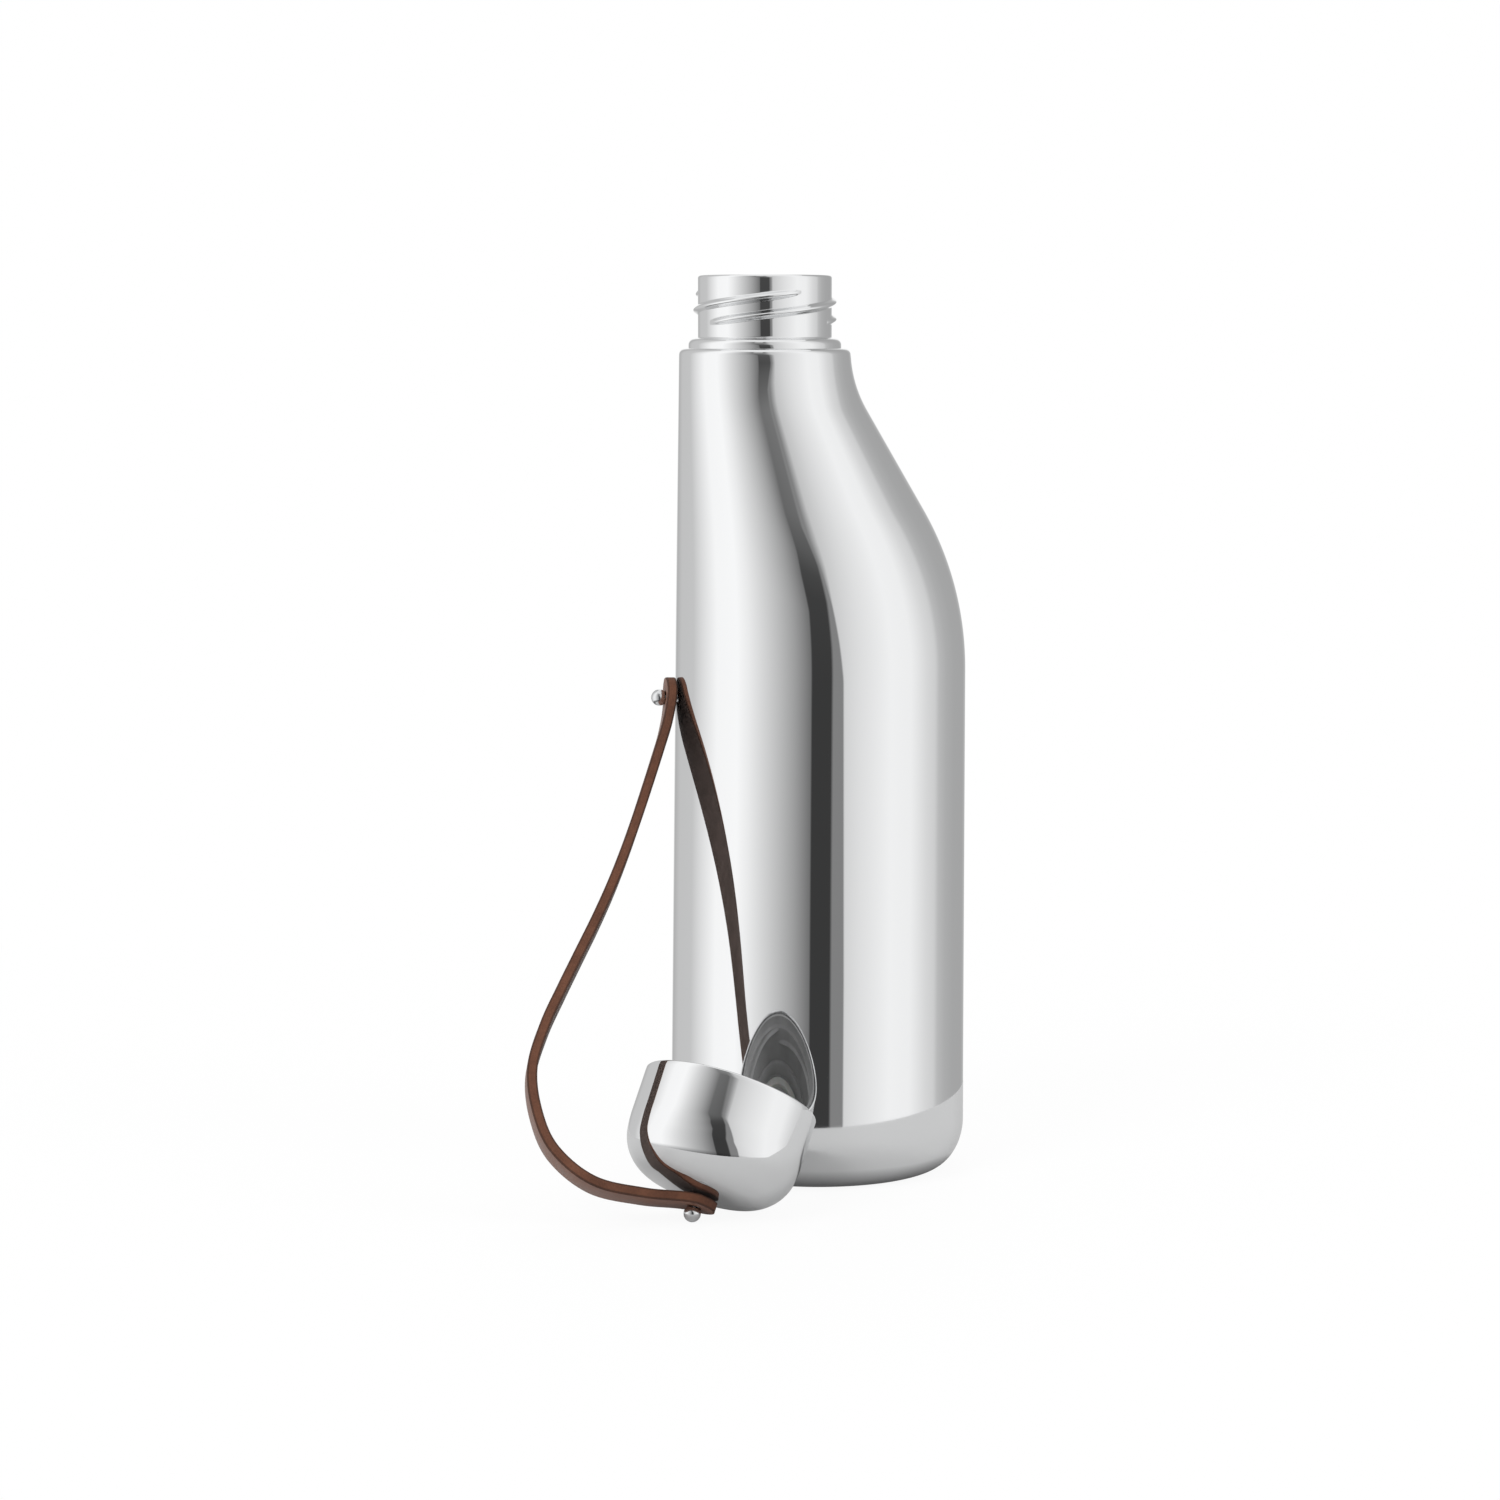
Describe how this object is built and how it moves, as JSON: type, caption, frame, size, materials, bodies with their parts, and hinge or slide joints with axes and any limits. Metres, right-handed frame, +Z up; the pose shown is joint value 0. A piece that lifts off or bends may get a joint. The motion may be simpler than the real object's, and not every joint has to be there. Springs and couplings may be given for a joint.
{
  "type": "stainless steel water bottle",
  "caption": "Double-walled steel water bottle with an offset threaded neck and a domed screw lid, taken off and lying beside it on a leather strap.",
  "frame": {"origin": "middle of the foot, on the surface that the bottle stands on", "axes": "+Z up along the bottle, -X towards the strap's stud and the straight side, -Y towards the front, where the lid rests"},
  "size_m": [0.117, 0.1132, 0.224],
  "materials": {
    "polished_steel": "mirror polished",
    "lid_steel": "mirror polished",
    "stud_steel": "polished",
    "liner_steel": "electropolished",
    "brushed_steel": "pressed and brushed",
    "getter_metal": "sintered",
    "strap_leather": "smooth, with raw edges",
    "insert_plastic": "moulded",
    "seal_silicone": "matt"
  },
  "bodies": {
    "bottle": {"outer_shell": "polished_steel", "base_disc": "brushed_steel", "vacuum_plug": "brushed_steel", "getter": "getter_metal", "inner_liner": "liner_steel", "neck": "polished_steel", "stud_boss": "brushed_steel", "body_stud": "stud_steel"},
    "tether": {"strap": "strap_leather"},
    "lid": {"lid_shell": "lid_steel", "lid_insert": "insert_plastic", "lid_gasket": "seal_silicone", "lid_stud": "stud_steel", "lid_washer": "brushed_steel", "lid_nut": "brushed_steel"}
  },
  "joints": [
    {"name": "strap_swing", "type": "hinge", "parent": "bottle", "child": "tether", "pos_m": [-0.03741, 0, 0.1194], "axis": [-1, 0, 0], "range_deg": [-2, 157]},
    {"name": "lid_swivel", "type": "hinge", "parent": "tether", "child": "lid", "pos_m": [-0.041, -0.0606, 0.00454], "axis": [-0.3683, -0.3548, -0.8593], "continuous": true}
  ]
}
